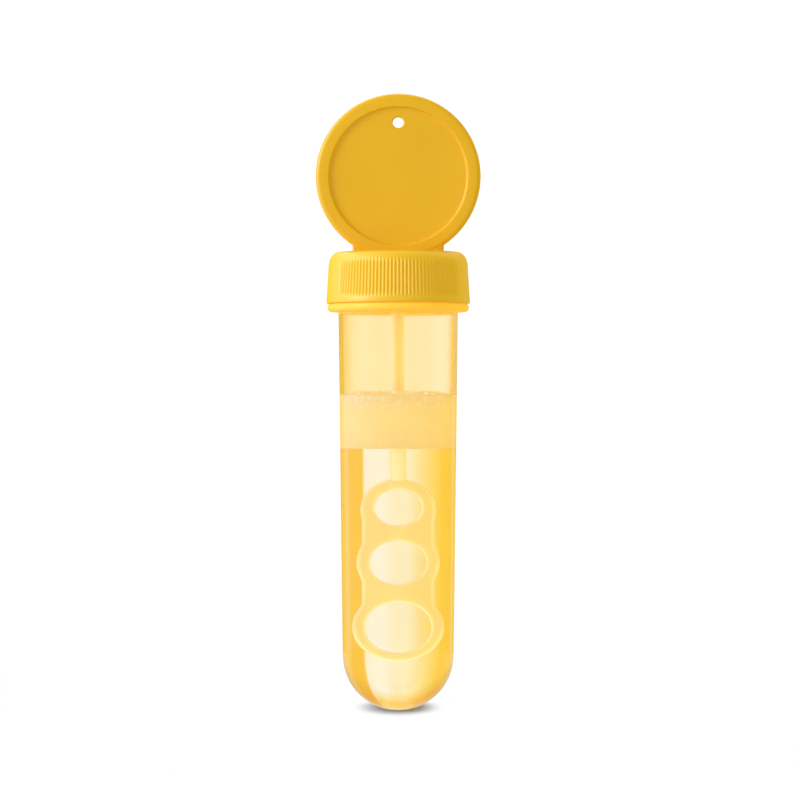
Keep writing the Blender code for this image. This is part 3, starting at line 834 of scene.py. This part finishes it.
def bubble_tree():
    tree, given, out = open_group(
        "foam_bubbles", "GeometryNodeTree",
        (("Geometry", "Geometry", None), ("Spacing", "Float", 0.0014), ("Smallest", "Float", 0.25),
         ("Largest", "Float", 0.6), ("Above", "Float", 0.0665), ("Wall", "Float", 0.0116),
         ("Seed", "Int", 5), ("Film", "Material", None)), (("Geometry", "Geometry"),))
    tree.is_modifier = True

    def more_than(value, limit):
        return node(tree, "FunctionNodeCompare", operation="GREATER_THAN", data_type="FLOAT", in_0=value,
                    in_1=limit).outputs[0]

    def height_of(vector):
        return node(tree, "ShaderNodeSeparateXYZ", in_0=vector).outputs["Z"]

    place = tree.nodes.new("GeometryNodeInputPosition").outputs[0]
    upward = height_of(tree.nodes.new("GeometryNodeInputNormal").outputs[0])
    on_top = node(tree, "FunctionNodeBooleanMath", operation="AND",
                  in_0=more_than(height_of(place), given["Above"]), in_1=more_than(upward, 0.5))
    scatter = fill(tree, node(tree, "GeometryNodeDistributePointsOnFaces", distribute_method="POISSON"),
                   Mesh=given["Geometry"], Selection=on_top.outputs[0], Distance_Min=given["Spacing"],
                   Density_Max=1.5e6, Seed=given["Seed"])
    sunk = fill(tree, node(tree, "GeometryNodeSetPosition"), Geometry=scatter.outputs["Points"],
                Offset=(0, 0, -0.0003))
    ball = fill(tree, node(tree, "GeometryNodeMeshIcoSphere"), Radius=MM, Subdivisions=2)
    size = fill(tree, node(tree, "FunctionNodeRandomValue", data_type="FLOAT", in_2=given["Smallest"],
                           in_3=given["Largest"]), Seed=given["Seed"])
    balls = fill(tree, node(tree, "GeometryNodeInstanceOnPoints"), Points=sunk.outputs[0],
                 Instance=ball.outputs[0], Scale=size.outputs[1])
    real = node(tree, "GeometryNodeRealizeInstances", in_0=balls.outputs[0])
    level = node(tree, "ShaderNodeVectorMath", operation="MULTIPLY", in_0=place, in_1=(1, 1, 0))
    reach = node(tree, "ShaderNodeVectorMath", operation="LENGTH", in_0=level.outputs[0])
    inside = calc(tree, "MINIMUM", calc(tree, "DIVIDE", given["Wall"], reach.outputs["Value"]), 1.0)
    squeeze = node(tree, "ShaderNodeCombineXYZ", in_0=inside, in_1=inside, in_2=1.0)
    squeezed = node(tree, "ShaderNodeVectorMath", operation="MULTIPLY", in_0=place,
                    in_1=squeeze.outputs[0])
    pressed = fill(tree, node(tree, "GeometryNodeSetPosition"), Geometry=real.outputs[0],
                   Position=squeezed.outputs[0])
    smoothed = node(tree, "GeometryNodeSetShadeSmooth", in_0=pressed.outputs[0])
    painted = fill(tree, node(tree, "GeometryNodeSetMaterial"), Geometry=smoothed.outputs[0],
                   Material=given["Film"])
    fill(tree, out, Geometry=painted.outputs[0])
    return tree


suds, cells = screen(255, 243, 208), screen(255, 252, 240)
foam_look = moulded_material("wet_foam", suds, 0.4, 0.04, 900.0, 0.02, IOR=1.2,
                             Transmission_Weight=0.15)
tree = foam_look.node_tree
place = tree.nodes.new("ShaderNodeTexCoord").outputs["Object"]
cell = fill(tree, node(tree, "ShaderNodeTexVoronoi", feature="DISTANCE_TO_EDGE"), Scale=620.0,
            Vector=place)
inside_cell = between(tree, cell.outputs["Distance"], 0.02, 0.2, soft=True)
coarse = calc(tree, "MULTIPLY", inside_cell, share_of_height(tree, 0.0642, 0.0668))
second_colour(tree, coarse, suds, cells)
film_look = moulded_material("bubble_film", screen(255, 252, 242), 0.25, 0.04, 900.0, 0.02, IOR=1.2)
bubbles = place_in_scene("foam_bubbles", foam.data.copy())
print("bubbles:", run_tree(bubbles, bubble_tree(), Film=film_look,
                            Wall=wall_radius(67, WALL - 0.09) * MM), "faces")
dress(foam, foam_look, "contents", "foam", "foam")
dress(bubbles, film_look, "contents", "foam", "foam")

# %% [markdown]
# The studio is a white surround, one large soft lamp and a pale floor. In a real studio, cards beside and
# behind the object give clear plastic its stripes. Here they are drawn on the surround as colours by
# direction. What clear plastic sees lies round the upright axis: golden cards at both sides, which the
# round tube of liquid, working as a lens, draws into stripes near its edges. Higher up and to the right
# it grows more golden still, as the photograph does.

# %% What clear plastic sees
GOLD, WHITE, CREAM = (0.96, 0.62, 0.04, 1), (1, 1, 1, 1), (1, 0.9, 0.66, 1)
PALE, YELLOW = (1, 0.92, 0.68, 1), (1, 0.87, 0.5, 1)
world = bpy.data.worlds.new("studio")
bpy.context.scene.world = world
world.use_nodes = True
tree = world.node_tree
tree.nodes.clear()
rays = tree.nodes.new("ShaderNodeLightPath").outputs
direction = tree.nodes.new("ShaderNodeTexCoord").outputs["Generated"]
x, y, z = node(tree, "ShaderNodeSeparateXYZ", in_0=direction).outputs


def colour_ramp(share, places):
    """A colour for each place on a scale that runs from the first place to the last."""
    low, high = places[0][0], places[-1][0]
    ramp = node(tree, "ShaderNodeValToRGB", in_0=share)
    elements = ramp.color_ramp.elements
    while len(elements) > 1:
        elements.remove(elements[-1])
    elements[0].position, elements[0].color = 0.0, places[0][1]
    for place, colour in places[1:]:
        elements.new((place - low) / (high - low)).color = colour
    return ramp.outputs[0]


azimuth = calc(tree, "ARCTANGENT", calc(tree, "DIVIDE", x, y))
stops = ((-90, PALE), (-70, YELLOW), (-50, GOLD), (-28, GOLD), (-20, (1, 0.72, 0.17, 1)),
         (-12, (1, 0.82, 0.38, 1)), (-4, PALE), (2, CREAM), (8, WHITE), (18.5, WHITE), (20, GOLD),
         (32, GOLD), (40, (1, 0.76, 0.25, 1)), (65, YELLOW), (90, PALE))
cards = colour_ramp(between(tree, azimuth, -math.pi / 2, math.pi / 2), stops)
warmed = blend(tree, between(tree, x, 0.1, 0.9), cards, (1, 0.82, 0.45, 1), "MULTIPLY")
gilded = blend(tree, between(tree, z, 0.3, 0.55), warmed, (1, 0.7, 0.12, 1), "MULTIPLY")
print("cards behind the tube:", len(stops), "colours")

# %% [markdown]
# Gloss sees cards of its own, laid out from left to right, and a bright one high up behind the object
# that draws the highlights on the flange and the cap's shoulder. The cards are dimmer towards the front,
# where a real room has no cards, so that gloss that faces the camera stays dark enough to show its colour.

# %% What gloss sees
gloss_stops = ((-1, WHITE), (-0.76, WHITE), (-0.68, GOLD), (0.58, GOLD), (0.60, WHITE), (0.68, WHITE),
               (0.7, (0.9, 0.6, 0.1, 1)), (1, (0.95, 0.68, 0.15, 1)))
gloss_cards = colour_ramp(between(tree, x, -1.0, 1.0), gloss_stops)
dim = blend(tree, 1.0, gloss_cards, between(tree, y, -0.45, 0.0, 0.3, 1.0), "MULTIPLY")
to_right = between(tree, x, -0.8, 0.8)
top_card = calc(tree, "MULTIPLY", between(tree, z, 0.35, 0.6), between(tree, y, -0.2, 0.2))
gloss = blend(tree, top_card, dim, blend(tree, to_right, (3.0, 2.8, 2.6, 1), (1.6, 1.4, 0.9, 1)))
print("cards for gloss:", len(gloss_stops), "colours")

# %% [markdown]
# The light that the surround gives is kept apart from what is seen of it, so that the background stays
# white and the colours come out as written. Outside the tube it is yellower from the right and weaker
# from above. The lamp's light can't get through clear plastic here, so the rays that leave the inside
# of the tube find a brighter light of their own. A ray that has met a matt surface finds only the light.

# %% The light of the surround
inner_light = blend(tree, to_right, (1.8, 1.75, 1.65, 1), (1.75, 1.4, 0.7, 1))
outer_light = blend(tree, to_right, (0.91, 0.89, 1.05, 1), (0.91, 0.87, 0.18, 1))
light = node(tree, "ShaderNodeBackground",
             in_0=blend(tree, rays["Is Transmission Ray"], outer_light, inner_light),
             in_1=between(tree, z, 0.1, 0.9, 1.0, 0.5))
white_or_gloss = blend(tree, rays["Is Glossy Ray"], WHITE, gloss)
backdrop = node(tree, "ShaderNodeBackground", in_1=1.06,
                in_0=blend(tree, rays["Is Transmission Ray"], white_or_gloss, gilded))
visible = calc(tree, "MAXIMUM", rays["Is Camera Ray"],
               calc(tree, "MAXIMUM", rays["Is Glossy Ray"], rays["Is Transmission Ray"]))
direct_sight = calc(tree, "LESS_THAN", rays["Diffuse Depth"], 0.5)


def choose_shader(tree, share, first, second):
    return node(tree, "ShaderNodeMixShader", in_0=share, in_1=first.outputs[0],
                in_2=second.outputs[0])


chosen = choose_shader(tree, calc(tree, "MULTIPLY", visible, direct_sight), light, backdrop)
node(tree, "ShaderNodeOutputWorld", in_0=chosen.outputs[0])
print("surround:", len(tree.nodes), "nodes")

# %% [markdown]
# The floor is matt. For the camera it turns to plain white away from the object, and only an oval under
# the round end and a little behind it keeps its own shading. There the floor is a dark bluish grey, a
# painted shadow that deepens the soft shadow it really gets. Clear plastic and views from below look
# straight through it, so that it hides nothing of the tube.

# %% The floor
FLOOR_RADIUS = 0.15
bm = bmesh.new()
bmesh.ops.create_circle(bm, cap_ends=True, segments=96, radius=FLOOR_RADIUS)
floor_mesh = bpy.data.meshes.new("floor")
bm.to_mesh(floor_mesh)
bm.free()
floor = place_in_scene("floor", floor_mesh)
floor_with_painted_shadow, tree = new_material("pale_floor_painted_shadow")
# Inside the oval the floor is a dark bluish grey: a painted shadow, on top of the real shading there.
matt = fill(tree, tree.nodes["Principled BSDF"], Base_Color=(0.4, 0.435, 0.59, 1), Roughness=1.0,
            Specular_IOR_Level=0.0)
rays = tree.nodes.new("ShaderNodeLightPath").outputs
place = tree.nodes.new("ShaderNodeTexCoord").outputs["Object"]
# The oval's middle lies about 7 millimetres behind the foot, where the painted shadow is drawn.
oval = fill(tree, node(tree, "ShaderNodeMapping"), Vector=place, Location=(0, -0.0028, 0),
            Scale=(1, 0.42, 1))
away = node(tree, "ShaderNodeVectorMath", operation="LENGTH", in_0=oval.outputs[0]).outputs["Value"]
far = calc(tree, "MULTIPLY", between(tree, away, 0.004, 0.0101, soft=True), rays["Is Camera Ray"])
plain = node(tree, "ShaderNodeEmission", in_0=WHITE, in_1=1.0)
golden = node(tree, "ShaderNodeEmission", in_0=(1, 0.87, 0.58, 1), in_1=1.0)
below = tree.nodes.new("ShaderNodeNewGeometry").outputs["Backfacing"]
unseen = calc(tree, "MAXIMUM", below, rays["Is Transmission Ray"])
seen = choose_shader(tree, rays["Is Glossy Ray"], choose_shader(tree, far, matt, plain), golden)
whole = choose_shader(tree, unseen, seen, tree.nodes.new("ShaderNodeBsdfTransparent"))
fill(tree, tree.nodes["Material Output"], Surface=whole.outputs[0])
floor_mesh.materials.append(floor_with_painted_shadow)
print("floor radius", FLOOR_RADIUS, "m")

# %% [markdown]
# The large lamp stands to the upper left and in front, because the photograph's cap is brightest on its
# left side and its recess has a shadow inside the left rim. It is hidden from clear plastic, which
# already sees the white surround.

# %% The lamp


def area_lamp(name, place, target, width, height, power):
    lamp = bpy.data.lights.new(name, "AREA")
    lamp.shape = "RECTANGLE"
    lamp.size, lamp.size_y = width, height
    lamp.energy = power
    holder = place_in_scene(name, lamp)
    holder.location = place
    aim = Vector(target) - Vector(place)
    holder.rotation_euler = aim.to_track_quat("-Z", "Y").to_euler()
    holder.visible_camera = False
    holder.visible_transmission = False
    return holder


key = area_lamp("key", (-0.78, -0.36, 0.38), (0, 0, 0.08), 0.4, 0.55, 4.6)
print("lamp at", tuple(key.location))

# %% [markdown]
# The camera looks level from three quarters of a metre away, with a long lens, as the photograph's
# outline shows: the cap's lower edge is almost a straight line. Blender's renderer blurs gloss after a
# matt bounce to save noise; that would turn the tube's plastic rough and what is inside it dark, so the
# blur is set to nothing.

# %% The camera
bpy.context.scene.cycles.blur_glossy = 0.0
lens = bpy.data.cameras.new("camera")
lens.sensor_width = 36.0
lens.lens = 157.5
camera = place_in_scene("camera", lens)
camera.location = (0.00039, -0.756, 0.0669)
camera.rotation_euler = (math.pi / 2, 0, 0)
bpy.context.scene.camera = camera
bpy.context.scene.view_settings.view_transform = "Standard"
print("camera", tuple(camera.location), "lens", lens.lens)
